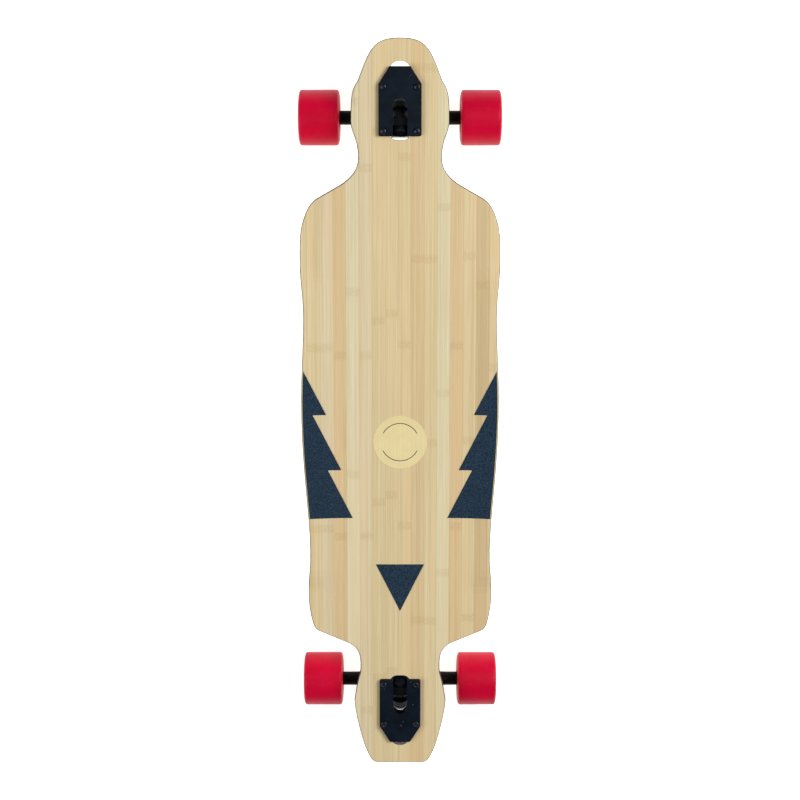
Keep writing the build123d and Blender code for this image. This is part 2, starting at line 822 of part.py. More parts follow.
with BuildPart() as bearing_inner_rings:
    with BuildSketch(Plane.XZ):
        with Locations(*[(axle_radius + bearing_inner_wall / 2, middle) for middle in bearing_middles]):
            Rectangle(bearing_inner_wall, bearing_width)
        with Locations(*[(ball_pitch_radius, middle) for middle in bearing_middles]):
            Circle(groove_radius, mode=Mode.SUBTRACT)
    revolve(axis=Axis.Z)

with BuildPart() as bearing_balls:
    for middle in bearing_middles:
        with Locations(Plane.XY.offset(middle)):
            with PolarLocations(ball_pitch_radius, bearing_ball_count):
                Sphere(ball_radius)

with BuildPart() as bearing_shields:
    for middle in bearing_middles:
        for direction in (-1, 1):
            inner_face = bearing_width / 2 - shield_inset - shield_thickness
            shield_level = middle + direction * inner_face
            with BuildSketch(Plane.XY.offset(shield_level)):
                Circle(outer_ring_bore)
                Circle(inner_ring_rim + shield_gap, mode=Mode.SUBTRACT)
            extrude(amount=direction * shield_thickness)

with BuildPart() as bearing_spacer:
    with BuildSketch(Plane.XY.offset(-bearing_spacer_length / 2)):
        Circle(axle_radius + bearing_spacer_wall)
        Circle(axle_radius, mode=Mode.SUBTRACT)
    extrude(amount=bearing_spacer_length)

with BuildPart() as speed_washers:
    for direction in (-1, 1):
        with BuildSketch(Plane.XY.offset(direction * bearing_stack / 2)):
            Circle(speed_washer_diameter / 2)
            Circle(axle_radius, mode=Mode.SUBTRACT)
        extrude(amount=direction * speed_washer_thickness)

with BuildPart() as axle_nut:
    with BuildSketch(Plane.XY.offset(bearing_stack / 2 + speed_washer_thickness)):
        RegularPolygon(axle_nut_width / 2, 6, major_radius=False)
        Circle(axle_radius, mode=Mode.SUBTRACT)
    extrude(amount=axle_nut_height)

wheel_pieces = {
    "wheel_tyre": wheel_tyre,
    "wheel_core": wheel_core,
    "bearing_outer_rings": bearing_outer_rings,
    "bearing_balls": bearing_balls,
    "bearing_shields": bearing_shields,
}
axle_pieces = {
    "bearing_inner_rings": bearing_inner_rings,
    "bearing_spacers": bearing_spacer,
    "speed_washers": speed_washers,
    "axle_nuts": axle_nut,
}
for end in truck_places:
    for side in side_signs:
        for piece_name, piece in wheel_pieces.items():
            save(piece.part, f"{end}_{side}_{piece_name}", [wheel_place(end, side)])
    both_wheels = [wheel_place(end, side) for side in side_signs]
    for piece_name, piece in axle_pieces.items():
        save(piece.part, f"{end}_{piece_name}", both_wheels)
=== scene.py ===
import bmesh
import bpy
import json
import math
from mathutils import Matrix, Vector


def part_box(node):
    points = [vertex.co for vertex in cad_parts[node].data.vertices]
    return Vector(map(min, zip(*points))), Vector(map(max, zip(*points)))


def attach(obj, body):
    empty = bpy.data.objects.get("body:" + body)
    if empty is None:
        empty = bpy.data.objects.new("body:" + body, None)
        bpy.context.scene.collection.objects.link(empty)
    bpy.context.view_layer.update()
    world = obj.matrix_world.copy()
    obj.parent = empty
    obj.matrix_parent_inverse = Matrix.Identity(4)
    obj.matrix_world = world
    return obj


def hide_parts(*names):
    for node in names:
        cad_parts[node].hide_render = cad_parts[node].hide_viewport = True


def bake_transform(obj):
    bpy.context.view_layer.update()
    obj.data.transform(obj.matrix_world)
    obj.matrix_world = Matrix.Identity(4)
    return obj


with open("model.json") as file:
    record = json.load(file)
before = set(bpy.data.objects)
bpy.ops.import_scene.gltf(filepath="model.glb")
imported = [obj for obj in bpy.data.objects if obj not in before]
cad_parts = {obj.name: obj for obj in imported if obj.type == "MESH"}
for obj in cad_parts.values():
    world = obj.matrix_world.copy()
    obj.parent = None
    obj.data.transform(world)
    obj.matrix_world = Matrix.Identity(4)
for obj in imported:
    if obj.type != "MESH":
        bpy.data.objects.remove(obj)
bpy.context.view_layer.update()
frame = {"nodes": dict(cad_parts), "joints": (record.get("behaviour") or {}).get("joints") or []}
cadNodes = frame["nodes"]
ends = ("front", "rear")
sides = ("left", "right")
wheels = [(end, side) for end in ends for side in sides]
mm = 0.001
print("frame loaded:", len(cadNodes), "nodes")


class Wire:  # an output socket that can stand in a sum
    def __init__(self, finish, socket):
        self.finish = finish
        self.socket = socket

    def sum(self, operation, *values):
        return self.finish.add("ShaderNodeMath", {"operation": operation}, dict(enumerate(values)))

    def __add__(self, other):
        return self.sum("ADD", self, other)

    def __sub__(self, other):
        return self.sum("SUBTRACT", self, other)

    def __rsub__(self, other):
        return self.sum("SUBTRACT", other, self)

    def __mul__(self, other):
        return self.sum("MULTIPLY", self, other)

    def __truediv__(self, other):
        return self.sum("DIVIDE", self, other)

    __radd__ = __add__
    __rmul__ = __mul__

    def floor(self):
        return self.sum("FLOOR", self)

    def fraction(self):
        return self.sum("FRACT", self)

    def size(self):
        return self.sum("ABSOLUTE", self)

    def rise(self, low, high):  # 0 below low, 1 above high, smooth between
        settings = {"interpolation_type": "SMOOTHSTEP"}
        sockets = {"Value": self, "From Min": low, "From Max": high, "To Min": 0.0, "To Max": 1.0}
        return self.finish.add("ShaderNodeMapRange", settings, sockets)


class Finish:  # one material and the nodes in it
    def __init__(self, name):
        self.material = bpy.data.materials.new(name)
        self.material.use_nodes = True
        self.tree = self.material.node_tree
        self.shader = self.tree.nodes["Principled BSDF"]

    def add(self, kind, settings=None, sockets=None, out=0):
        node = self.tree.nodes.new(kind)
        for key, value in (settings or {}).items():
            if key == "stops":
                while len(node.color_ramp.elements) < len(value):
                    node.color_ramp.elements.new(1.0)
                for element, (place, shade) in zip(node.color_ramp.elements, value):
                    element.position = place
                    element.color = (*shade, 1.0)
            elif key == "steps":
                node.color_ramp.interpolation = value
            else:
                setattr(node, key, value)
        for key, value in (sockets or {}).items():
            self.feed(node.inputs[key], value)
        return Wire(self, node.outputs[out])

    def feed(self, socket, value):
        if isinstance(value, Wire):
            self.tree.links.new(value.socket, socket)
        elif socket.type == "RGBA" and len(value) == 3:
            socket.default_value = (*value, 1.0)
        else:
            socket.default_value = value

    def place(self):  # the point's own x, y and z, in metres
        here = self.add("ShaderNodeTexCoord", out="Object")
        split = self.add("ShaderNodeSeparateXYZ", sockets={"Vector": here}).socket.node
        return here, [Wire(self, socket) for socket in split.outputs]

    def facing(self):  # which way the surface looks
        normal = self.add("ShaderNodeNewGeometry", out="Normal")
        split = self.add("ShaderNodeSeparateXYZ", sockets={"Vector": normal}).socket.node
        return [Wire(self, socket) for socket in split.outputs]

    def scaled(self, vector, factors):
        return self.add("ShaderNodeVectorMath", {"operation": "MULTIPLY"}, {0: vector, 1: factors})

    def noise(self, vector, scale, detail=2.0, roughness=0.5, distortion=0.0):
        sockets = {"Vector": vector, "Scale": scale, "Detail": detail, "Roughness": roughness}
        sockets["Distortion"] = distortion
        return self.add("ShaderNodeTexNoise", {}, sockets)

    def mix(self, share, first, second, kind="MIX"):
        settings = {"data_type": "RGBA", "blend_type": kind}
        return self.add("ShaderNodeMix", settings, {0: share, 6: first, 7: second}, out=2)

    def ramp(self, value, stops, steps="LINEAR"):
        return self.add("ShaderNodeValToRGB", {"steps": steps, "stops": stops}, {"Fac": value})

    def bump(self, height, strength, distance):
        return self.add("ShaderNodeBump", {}, {"Height": height, "Strength": strength, "Distance": distance})

    def surface(self, **values):  # keyword colour, roughness and so on to the shader's own sockets
        names = {
            "colour": "Base Color", "roughness": "Roughness", "metallic": "Metallic", "normal": "Normal",
            "specular": "Specular IOR Level", "subsurface": "Subsurface Weight",
            "subsurfaceRadius": "Subsurface Radius", "subsurfaceScale": "Subsurface Scale",
            "glow": "Emission Color", "glowStrength": "Emission Strength",
        }
        for key, value in values.items():
            self.feed(self.shader.inputs[names[key]], value)
        return self.material


def shade(*screen):  # red, green and blue on a screen, 0 to 255, as the renderer's own linear colour
    return tuple(((c / 255 + 0.055) / 1.055) ** 2.4 if c > 10 else c / 255 / 12.92 for c in screen)


bamboo = {
    "stripWidth": 16.35 * mm,
    "firstStrip": -8,
    "stripOffset": -2.5 * mm,
    "tones": {
        "cream": shade(227, 217, 181), "pale": shade(224, 209, 173), "straw": shade(224, 206, 163),
        "tan": shade(221, 198, 154), "brown": shade(213, 190, 147),
    },
    "strips": "straw straw pale tan cream pale straw straw straw tan straw cream tan straw brown straw",
    "knuckleSpacing": 0.235,
    "edgeFrom": 0.7,
    "edgeTo": 0.94,
}


def bambooFinish():
    f = Finish("clearCoatedBamboo")
    here, (x, y, z) = f.place()
    across = (x - bamboo["stripOffset"]) / bamboo["stripWidth"]
    stripNumber = across.floor()
    inStrip = across.fraction()
    order = bamboo["strips"].split()
    share = (across - bamboo["firstStrip"]) / len(order)
    stops = [(number / len(order), bamboo["tones"][tone]) for number, tone in enumerate(order)]
    tone = f.ramp(share, stops, "CONSTANT")
    chance = f.add("ShaderNodeTexWhiteNoise", {"noise_dimensions": "1D"}, {"W": stripNumber + 0.37})
    # long fibres, drawn out along the board, and different in every strip
    shifted = f.add("ShaderNodeCombineXYZ", {}, {"X": x + chance, "Y": y + chance * 3.1, "Z": z})
    fine = f.noise(f.scaled(shifted, (2600.0, 14.0, 300.0)), 1.0, 3.0, 0.6)
    broad = f.noise(f.scaled(shifted, (420.0, 2.2, 60.0)), 1.0, 2.0, 0.5, 0.4)
    slow = f.noise(f.scaled(shifted, (90.0, 1.6, 20.0)), 1.0, 1.0)
    fibres = fine * 0.5 + broad * 0.34 + slow * 0.16
    colour = f.mix(fibres.rise(0.36, 0.64), f.mix(1.0, tone, shade(232, 225, 211), "MULTIPLY"), tone)
    warm = f.mix(1.0, tone, shade(252, 238, 224), "MULTIPLY")
    colour = f.mix(slow.rise(0.42, 0.68) * 0.55, colour, warm)
    # knuckles of the cane: a short mottled band across a strip
    turn = y / bamboo["knuckleSpacing"] + chance * 7.3
    fromKnuckle = (turn.fraction() - 0.5).size()
    band = 1 - fromKnuckle.rise(0.012, 0.032)
    mottle = f.noise(f.scaled(here, (1500.0, 700.0, 900.0)), 1.0, 2.0, 0.7)
    knuckle = band * mottle.rise(0.42, 0.6)
    colour = f.mix(knuckle * 0.42, colour, f.mix(1.0, tone, shade(212, 190, 160), "MULTIPLY"))
    # the glue line between strips
    seam = 1 - (0.5 - (inStrip - 0.5).size()).rise(0.0, 0.035)
    colour = f.mix(seam * 0.3, colour, f.mix(1.0, tone, shade(206, 184, 156), "MULTIPLY"))
    # clear grit sprayed over the wood
    grit = f.noise(here, 1900.0, 1.0, 0.6)
    colour = f.mix(grit.rise(0.6, 0.8) * 0.16, colour, shade(247, 240, 219))
    colour = f.mix((1 - grit.rise(0.22, 0.4)) * 0.2, colour, shade(196, 172, 130))
    # the sealed edge all round, dark, with the plies just showing through
    level = f.facing()[2].size()
    edge = 1 - level.rise(bamboo["edgeFrom"], bamboo["edgeTo"])
    plies = (z / (1.7 * mm)).fraction()
    ply = (plies - 0.5).size().rise(0.36, 0.5)
    sealed = f.mix(ply * 0.6, shade(62, 52, 44), shade(36, 30, 27))
    sealed = f.mix(fine.rise(0.4, 0.7) * 0.35, sealed, shade(92, 76, 60))
    colour = f.mix(edge, colour, sealed)
    roughness = 0.42 + fibres * 0.12 + grit * 0.12
    height = fibres * 0.5 + grit * 0.45 - seam * 0.3
    normal = f.bump(height, 0.22, 0.12 * mm)
    return f.surface(colour=colour, roughness=roughness, normal=normal, specular=0.35)


def gritFinish():
    f = Finish("navyGritTape")
    here, _ = f.place()
    grain = f.add("ShaderNodeTexVoronoi", {"feature": "F1"}, {"Vector": here, "Scale": 1900.0})
    speck = f.noise(here, 1500.0, 2.0, 0.7)
    patch = f.noise(here, 45.0, 2.0)
    clump = f.noise(here, 620.0, 2.0, 0.8)
    colour = f.mix(clump.rise(0.4, 0.62), shade(14, 30, 45), shade(45, 64, 81))
    colour = f.mix(speck.rise(0.4, 0.66) * 0.35, colour, shade(52, 72, 92))
    colour = f.mix(patch.rise(0.4, 0.7) * 0.3, colour, shade(30, 48, 62))
    colour = f.mix(speck.rise(0.68, 0.78) * 0.5, colour, shade(96, 112, 128))
    height = speck * 0.7 + grain * 0.3
    roughness = 0.74 + patch * 0.2
    normal = f.bump(height, 0.8, 0.35 * mm)
    return f.surface(colour=colour, roughness=roughness, normal=normal, specular=0.1)


def badgeFinish():
    f = Finish("clearBadgeFilm")
    here, _ = f.place()
    lines = f.noise(f.scaled(here, (1800.0, 12.0, 1.0)), 1.0, 2.0)
    patch = f.noise(here, 60.0, 2.0)
    colour = f.mix(lines.rise(0.35, 0.7), shade(226, 208, 154), shade(233, 217, 163))
    colour = f.mix(patch.rise(0.35, 0.7) * 0.5, colour, shade(221, 203, 150))
    roughness = 0.36 + patch * 0.1
    normal = f.bump(lines, 0.12, 0.05 * mm)
    return f.surface(colour=colour, roughness=roughness, normal=normal, specular=0.3)


def printFinish():
    f = Finish("ringInk")
    here, _ = f.place()
    thin = f.noise(here, 900.0, 2.0)
    colour = f.mix(thin.rise(0.45, 0.75), shade(52, 38, 26), shade(84, 64, 44))
    roughness = 0.5 + thin * 0.15
    normal = f.bump(thin, 0.1, 0.02 * mm)
    return f.surface(colour=colour, roughness=roughness, normal=normal)


def coatFinish():
    f = Finish("blackPowderCoat")
    here, (_, _, z) = f.place()
    orange = f.noise(here, 1100.0, 2.0, 0.55)
    patch = f.noise(here, 55.0, 3.0, 0.6)
    dust = f.noise(here, 420.0, 2.0, 0.7)
    chips = f.add("ShaderNodeTexVoronoi", {"feature": "F1"}, {"Vector": here, "Scale": 95.0})
    colour = f.mix(patch.rise(0.35, 0.68), shade(6, 15, 25), shade(12, 22, 34))
    colour = f.mix(dust.rise(0.66, 0.76) * 0.35, colour, shade(58, 68, 78))
    # painted shade: all of the casting below the flange top, under the deck and down the slot, is darkened to
    # near-black
    colour = f.mix(z.rise(100.5 * mm, 102.5 * mm), shade(4, 5, 6), colour)
    chip = (1 - chips.rise(0.06, 0.11)) * dust.rise(0.5, 0.6)
    colour = f.mix(chip * 0.75, colour, shade(94, 99, 102))
    roughness = 0.4 + patch * 0.16 + dust * 0.1
    height = orange * 0.6 - chip * 0.6
    normal = f.bump(height, 0.3, 0.12 * mm)
    return f.surface(colour=colour, roughness=roughness, normal=normal, specular=0.1)


def steelFinish(name, dark, light, metallic, roughness, spotShade, spotShare):
    f = Finish(name)
    here, _ = f.place()
    brushed = f.noise(f.scaled(here, (3200.0, 260.0, 260.0)), 1.0, 2.0)
    patch = f.noise(here, 130.0, 3.0, 0.6)
    spots = f.noise(here, 700.0, 2.0, 0.7)
    colour = f.mix(patch.rise(0.35, 0.68), dark, light)
    colour = f.mix(spots.rise(0.62, 0.76) * spotShare, colour, spotShade)
    height = brushed * 0.6 + spots * 0.4
    return f.surface(
        colour=colour, metallic=metallic, roughness=roughness + patch * 0.16 + brushed * 0.08,
        normal=f.bump(height, 0.16, 0.05 * mm), specular=0.5,
    )


def urethaneFinish(name, base, deep, dusty, roughness, glow, lines):
    f = Finish(name)
    here, _ = f.place()
    patch = f.noise(here, 38.0, 3.0, 0.55)
    cloud = f.noise(here, 150.0, 3.0, 0.6)
    specks = f.noise(here, 900.0, 2.0, 0.7)
    lathed = f.noise(f.scaled(here, (1.0, 1.0, lines)), 1.0, 2.0)
    colour = f.mix(patch.rise(0.34, 0.68), base, deep)
    colour = f.mix(cloud.rise(0.55, 0.78) * 0.25, colour, dusty)
    colour = f.mix(specks.rise(0.68, 0.8) * 0.3, colour, dusty)
    height = lathed * 0.5 + specks * 0.5
    return f.surface(
        colour=colour, roughness=roughness + cloud * 0.16, normal=f.bump(height, 0.2, 0.08 * mm),
        specular=0.14, subsurface=glow, subsurfaceRadius=(0.004, 0.0007, 0.001), subsurfaceScale=1.0,
    )


finishes = {
    "bamboo": bambooFinish(),
    "gripTape": gritFinish(),
    "badge": badgeFinish(),
    "ink": printFinish(),
    "casting": coatFinish(),
    "blackSteel": steelFinish(
        "blackOxideSteel", shade(16, 20, 28), shade(34, 40, 52), 0.6, 0.16, shade(100, 104, 116), 0.3
    ),
    "steel": steelFinish(
        "zincPlatedSteel", shade(178, 182, 190), shade(206, 208, 212), 0.95, 0.2, shade(120, 122, 126), 0.5
    ),
    "ballSteel": steelFinish(
        "polishedBallSteel", shade(214, 215, 218), shade(226, 227, 230), 1.0, 0.06, shade(190, 190, 195), 0.2
    ),
    "nylon": urethaneFinish(
        "nylonCollar", shade(206, 208, 204), shade(190, 192, 190), shade(222, 222, 218), 0.42, 0.1, 900.0
    ),
    "bushing": urethaneFinish(
        "blackBushing", shade(20, 20, 22), shade(27, 27, 30), shade(52, 52, 54), 0.36, 0.0, 2600.0
    ),
    "seal": urethaneFinish(
        "rubberSeal", shade(24, 24, 26), shade(33, 33, 35), shade(62, 61, 60), 0.5, 0.0, 2600.0
    ),
    "tyre": urethaneFinish(
        "redUrethane", shade(203, 0, 50), shade(192, 0, 42), shade(214, 30, 70), 0.34, 0.06, 2200.0
    ),
    "core": urethaneFinish(
        "mouldedCore", shade(176, 8, 36), shade(158, 6, 30), shade(200, 50, 74), 0.3, 0.05, 900.0
    ),
}
print("finishes made:", len(finishes))


def coat(piece, finish):
    piece.data.materials.clear()
    piece.data.materials.append(finishes[finish])


def smooth(mesh, angle=32):
    for face in mesh.polygons:
        face.use_smooth = True
    mesh.set_sharp_from_angle(angle=math.radians(angle))


def makePiece(name, bm, finish, slotName, *replaced, angle=32):
    bmesh.ops.recalc_face_normals(bm, faces=bm.faces)
    mesh = bpy.data.meshes.new(name)
    bm.to_mesh(mesh)
    bm.free()
    smooth(mesh, angle)
    piece = bpy.data.objects.new(name, mesh)
    bpy.context.scene.collection.objects.link(piece)
    coat(piece, finish)
    if replaced:
        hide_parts(*replaced)
    return piece


def addPiece(name, bm, finish, body, slotName, *replaced, angle=32):
    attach(makePiece(name, bm, finish, slotName, *replaced, angle=angle), body)


def pointsOf(node):
    return [vertex.co.copy() for vertex in cadNodes[node].data.vertices]


def standing(origin, direction):  # a place whose own z runs along direction
    turn = Vector(direction).to_track_quat("Z", "Y").to_matrix().to_4x4()
    return Matrix.Translation(origin) @ turn


camera = {
    "place": (0.0, 426.41 * mm, 2301.5 * mm),
    "tilt": -10.5,
    "lens": 79.593,
    "sensor": 36.0,
    "farthest": 50.0,
}


def addCamera():
    data = bpy.data.cameras.new("camera")
    data.lens = camera["lens"]
    data.sensor_width = camera["sensor"]
    data.clip_end = camera["farthest"]
    eye = bpy.data.objects.new("camera", data)
    eye.location = camera["place"]
    eye.rotation_euler = (math.radians(camera["tilt"]), 0.0, 0.0)
    bpy.context.scene.collection.objects.link(eye)
    bpy.context.scene.camera = eye


studio = {
    "lamps": [
        {"name": "keyLamp", "place": (1.7, 0.75, 2.3), "size": 1.5, "power": 66.0},
        {"name": "fillLamp", "place": (-1.9, -0.3, 2.0), "size": 2.0, "power": 33.0},
    ],
    "sky": (0.16, 0.165, 0.175),
    "floorSize": 12.0,
    "floorCells": 8,
    "floorGlow": 0.97,
}


def addStudio():
    for lamp in studio["lamps"]:
        data = bpy.data.lights.new(lamp["name"], "AREA")
        data.shape = "DISK"
        data.size = lamp["size"]
        data.energy = lamp["power"]
        source = bpy.data.objects.new(lamp["name"], data)
        source.location = lamp["place"]
        source.rotation_euler = (-Vector(lamp["place"])).to_track_quat("-Z", "Y").to_euler()
        bpy.context.scene.collection.objects.link(source)
    world = bpy.data.worlds.new("softSky")
    world.use_nodes = True
    world.node_tree.nodes["Background"].inputs["Color"].default_value = (*studio["sky"], 1.0)
    bpy.context.scene.world = world
    bpy.context.scene.view_settings.view_transform = "Standard"
    f = Finish("paleFloor")
    here, _ = f.place()
    cloud = f.noise(here, 3.0, 3.0)
    colour = f.mix(cloud, shade(236, 236, 236), shade(240, 240, 240))
    roughness = 0.8 + cloud * 0.1
    f.surface(
        colour=colour, roughness=roughness, specular=0.0, glow=colour, glowStrength=studio["floorGlow"]
    )
    bm = bmesh.new()
    half = studio["floorSize"] / 2
    cells = studio["floorCells"]
    lines = [half * (2 * i / cells - 1) for i in range(cells + 1)]
    grid = [[bm.verts.new((x, y, 0.0)) for x in lines] for y in lines]
    for j in range(cells):
        for i in range(cells):
            bm.faces.new((grid[j][i], grid[j][i + 1], grid[j + 1][i + 1], grid[j + 1][i]))
    mesh = bpy.data.meshes.new("floor")
    bm.to_mesh(mesh)
    bm.free()
    floor = bpy.data.objects.new("floor", mesh)
    floor.data.materials.append(f.material)
    bpy.context.scene.collection.objects.link(floor)


addCamera()
addStudio()
print("camera, lamps and floor placed")


def spanOf(points, direction):  # where a straight piece starts and ends, and its length
    along = Vector(direction).normalized()
    reach = [point.dot(along) for point in points]
    flat = [point - along * point.dot(along) for point in points]
    middle = Vector([(min(p[i] for p in flat) + max(p[i] for p in flat)) / 2 for i in range(3)])
    return {
        "start": middle + along * min(reach), "end": middle + along * max(reach),
        "length": max(reach) - min(reach),
    }


def ringPoint(entry, angle):  # radius and height of one point of a turned profile
    radius, height, *style = entry
    if not style:
        return radius, height
    if style[0] == "six":  # six flats, with the corners let down by the chamfer
        far = radius / math.cos((angle + math.pi / 6) % (math.pi / 3) - math.pi / 6)
        return far, height - style[1] * (far - radius)
    pitch, depth = style[1:]
    crest = (height / pitch - angle / math.tau) % 1.0
    return radius - depth * abs(2 * crest - 1), height


def turned(bm, place, profile, steps=48, closed=False):  # a profile of radius and height, swept round
    rings = []
    for entry in profile:
        count = 1 if entry[0] == 0 else steps
        ring = []
        for step in range(count):
            angle = math.tau * step / count
            radius, height = ringPoint(entry, angle)
            point = Vector((radius * math.cos(angle), radius * math.sin(angle), height)) * mm
            ring.append(bm.verts.new(place @ point))
        rings.append(ring)
    pairs = list(zip(rings, rings[1:]))
    if closed:
        pairs.append((rings[-1], rings[0]))
    for first, second in pairs:
        for step in range(steps):
            after = (step + 1) % steps
            around = [first[step % len(first)], first[after % len(first)]]
            around += [second[after % len(second)], second[step % len(second)]]
            bm.faces.new(list(dict.fromkeys(around)))


def thread(radius, low, high, pitch, depth, perTurn=5):  # rings of a screw thread
    count = max(2, round((high - low) / pitch * perTurn))
    return [(radius, low + (high - low) * i / count, "thread", pitch, depth) for i in range(count + 1)]


steering = {
    joint["child"]: Vector(joint["axis"]) for joint in frame["joints"] if joint["name"].endswith("_steer")
}
kingpinWays = {}  # down along each kingpin, square to the steering axis
for end in ends:
    way = steering[end + "_hanger_body"].cross(Vector((1, 0, 0)))
    kingpinWays[end] = way if way.z < 0 else -way

casts = {
    "hanger": {"voxel": 0.62, "passes": 7},
    "baseplate": {"voxel": 0.5, "passes": 3},
}


def addCast(end, part, body):  # the cast piece with its edges and corners eased, as a casting leaves them
    node = f"{end}_{part}"
    sizes = casts[part]
    piece = bpy.data.objects.new(f"{end}_{part}_casting", cadNodes[node].data.copy())
    bpy.context.scene.collection.objects.link(piece)
    skin = piece.modifiers.new("skin", "REMESH")
    skin.mode = "VOXEL"
    skin.voxel_size = sizes["voxel"] * mm
    ease = piece.modifiers.new("ease", "SMOOTH")
    ease.factor = 0.5
    ease.iterations = sizes["passes"]
    shape = piece.evaluated_get(bpy.context.evaluated_depsgraph_get())
    mesh = bpy.data.meshes.new_from_object(shape)
    piece.modifiers.clear()
    piece.data = mesh
    smooth(mesh, 60)
    coat(piece, "casting")
    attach(piece, body)
    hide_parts(node)


for end in ends:
    addCast(end, "baseplate", "deck_body")
    addCast(end, "hanger", end + "_hanger_body")
print("castings eased")

bolt = {
    "headHeight": 2.8, "headRadius": 4.5, "socket": 1.5, "socketDepth": 1.6, "shank": 2.5,
    "pitch": 0.8, "threadDepth": 0.45, "threadLength": 8.0,
    "dome": ((2.9, 0.12), (3.5, 0.42), (4.0, 0.9), (4.32, 1.5), (4.5, 2.1)),  # radius and fall below the top
}
boltNut = {"half": 4.0, "bore": 2.5, "collarHeight": 1.0, "collarWall": 0.8}
axleNut = {"half": 6.35, "bore": 4.0, "collarHeight": 1.3, "collarWall": 1.1}
kingpinNut = {"half": 7.15, "bore": 4.75, "collarHeight": 1.8, "collarWall": 1.2}


def corners(points, alsoY=True):  # the pieces of a node that stand apart, each side of its middle
    middle = [(min(p[i] for p in points) + max(p[i] for p in points)) / 2 for i in range(2)]
    groups = {}
    for p in points:
        groups.setdefault((p.x > middle[0], alsoY and p.y > middle[1]), []).append(p)
    return [groups[key] for key in sorted(groups)]


def lockNut(nuts, collars, place, height, nut):  # hexagon below, nylon ring in its collar above
    half, bore = nut["half"], nut["bore"]
    shoulder = height - nut["collarHeight"]
    outer = half * 0.93
    wall = bore + nut["collarWall"]
    turned(nuts, place, [
        (bore, 0.3), (bore + 0.3, 0.0), (half * 0.96, 0.0), (half, 0.0, "six", -0.5),
        (half, shoulder, "six", 0.5), (half * 0.97, shoulder), (outer, shoulder + 0.1), (outer, height - 0.5),
        (outer - 0.25, height - 0.1), (outer - 0.6, height), (wall, height - 0.15), (wall, shoulder),
        (bore, shoulder),
    ], closed=True)
    turned(collars, place, [
        (bore - 0.05, shoulder), (wall, shoulder), (wall, height - 0.25),
        (bore + nut["collarWall"] * 0.5, height - 0.12), (bore - 0.05, height - 0.3),
    ], closed=True)


for end in ends:
    bolts = bmesh.new()
    for points in corners(pointsOf(end + "_mounting_bolts")):
        span = spanOf(points, (0, 0, 1))
        place = standing(span["start"], (0, 0, 1))
        h = span["length"] / mm
        seat = h - bolt["headHeight"]
        r, shank, socket = bolt["headRadius"], bolt["shank"], bolt["socket"]
        turns = thread(shank, 0.5, bolt["threadLength"], bolt["pitch"], bolt["threadDepth"])
        turned(bolts, place, [
            (0, h - bolt["socketDepth"] - 0.5), (socket, h - bolt["socketDepth"], "six", 0),
            (socket, h - 0.3, "six", 0), (socket + 0.4, h - 0.04), (socket + 0.75, h),
            *[(radius, h - fall) for radius, fall in bolt["dome"]], (r, seat + 0.2), (r - 0.2, seat),
            (shank, seat), (shank, bolt["threadLength"] + 0.2),
            *reversed(turns), (shank - 0.6, 0.0), (0, 0.0),
        ], steps=36)
    replaced = end + "_mounting_bolts"
    addPiece(end + "_bolt_set", bolts, "blackSteel", "deck_body", "black_steel", replaced, angle=40)
    nuts, collars = bmesh.new(), bmesh.new()
    for points in corners(pointsOf(end + "_mounting_nuts")):
        span = spanOf(points, (0, 0, -1))
        lockNut(nuts, collars, standing(span["start"], (0, 0, -1)), span["length"] / mm, boltNut)
    replaced = end + "_mounting_nuts"
    addPiece(end + "_bolt_nuts", nuts, "blackSteel", "deck_body", "black_steel", replaced, angle=30)
    addPiece(end + "_bolt_collars", collars, "nylon", "deck_body", "black_steel")
print("bolts and nuts made")

kingpin = {
    "half": 7.15, "headHeight": 6.0, "shank": 4.75, "pitch": 1.25, "threadDepth": 0.75, "threadLength": 14.0,
}

for end in ends:
    way = kingpinWays[end]
    span = spanOf(pointsOf(end + "_kingpin"), way)
    length, shank, half, head = span["length"] / mm, kingpin["shank"], kingpin["half"], kingpin["headHeight"]
    threadStart = length - kingpin["threadLength"]
    pin = bmesh.new()
    turned(pin, standing(span["start"], way), [
        (0, 0.0), (half * 0.55, 0.0), (half * 0.94, 0.0), (half, 0.0, "six", -0.5),
        (half, head - 0.1, "six", 0), (half * 0.9, head), (shank, head), (shank, threadStart - 0.3),
        *thread(shank, threadStart, length - 0.8, kingpin["pitch"], kingpin["threadDepth"]),
        (shank - 1.1, length), (0, length),
    ])
    addPiece(end + "_kingpin_bolt", pin, "blackSteel", "deck_body", "black_steel", end + "_kingpin", angle=35)
    nuts, collars = bmesh.new(), bmesh.new()
    span = spanOf(pointsOf(end + "_kingpin_nut"), way)
    lockNut(nuts, collars, standing(span["start"], way), span["length"] / mm, kingpinNut)
    replaced = end + "_kingpin_nut"
    addPiece(end + "_kingpin_locknut", nuts, "blackSteel", "deck_body", "black_steel", replaced, angle=30)
    addPiece(end + "_kingpin_collar", collars, "nylon", "deck_body", "black_steel")
print("kingpins made")

bushings = {
    "boardside": {"near": 12.0, "far": 12.0, "waist": 0.35},
    "roadside": {"near": 12.0, "far": 9.5, "waist": -0.25},
}

for end in ends:
    for which, sizes in bushings.items():
        node = f"{end}_{which}_bushing"
        # away from the hanger ring
        way = kingpinWays[end] if which == "roadside" else -kingpinWays[end]
        span = spanOf(pointsOf(node), way)
        length = span["length"] / mm
        profile = [(4.95, 0.2), (5.3, 0.0)]
        for step in range(13):
            share = step / 12
            radius = sizes["near"] + (sizes["far"] - sizes["near"]) * share
            radius -= sizes["waist"] * math.sin(math.pi * share)
            easing = 0.9 * max(0.0, abs(2 * share - 1) - 0.8) / 0.2
            profile.append((radius - 0.05 - easing, length * share))
        profile += [(5.3, length), (4.95, length - 0.2)]
        soft = bmesh.new()
        turned(soft, standing(span["start"], way), profile, steps=64, closed=True)
        piece = makePiece(node + "_moulding", soft, "bushing", "black_urethane", node, angle=40)
        end + "_hanger_body"
        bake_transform(piece)
print("bushings made")

